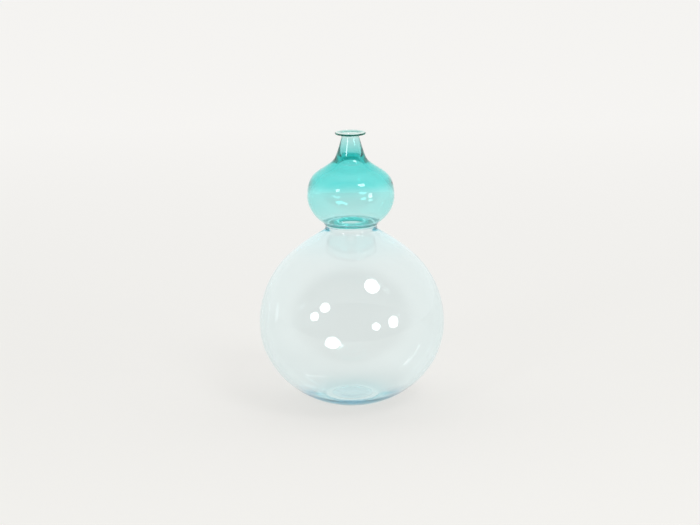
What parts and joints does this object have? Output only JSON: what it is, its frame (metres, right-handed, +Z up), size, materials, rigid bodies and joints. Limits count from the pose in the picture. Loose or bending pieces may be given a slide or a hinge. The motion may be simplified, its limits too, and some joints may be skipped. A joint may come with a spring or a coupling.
{
  "type": "double gourd vase",
  "caption": "Blown glass vase with a pale globe below, a small teal gourd above a pinched waist, and a narrow drawn neck with a flared lip.",
  "frame": {"origin": "centre of the foot's resting ring, on the surface that the vase stands on", "axes": "+Z up along the axis of the vase, from the foot to the mouth; X and Y are free, as the vase is round"},
  "size_m": [0.1718, 0.1718, 0.2531],
  "materials": {
    "pale_aqua_glass": "clear, fire-polished",
    "pontil_glass": "ground and polished",
    "collar_glass": "clear, fire-polished",
    "teal_glass": "clear, fire-polished",
    "lip_glass": "clear, fire-polished"
  },
  "bodies": {
    "root": {"lower_globe": "pale_aqua_glass", "pontil_pad": "pontil_glass", "waist_collar": "collar_glass", "upper_gourd": "teal_glass", "drawn_neck": "teal_glass", "flared_lip": "lip_glass"}
  },
  "joints": []
}
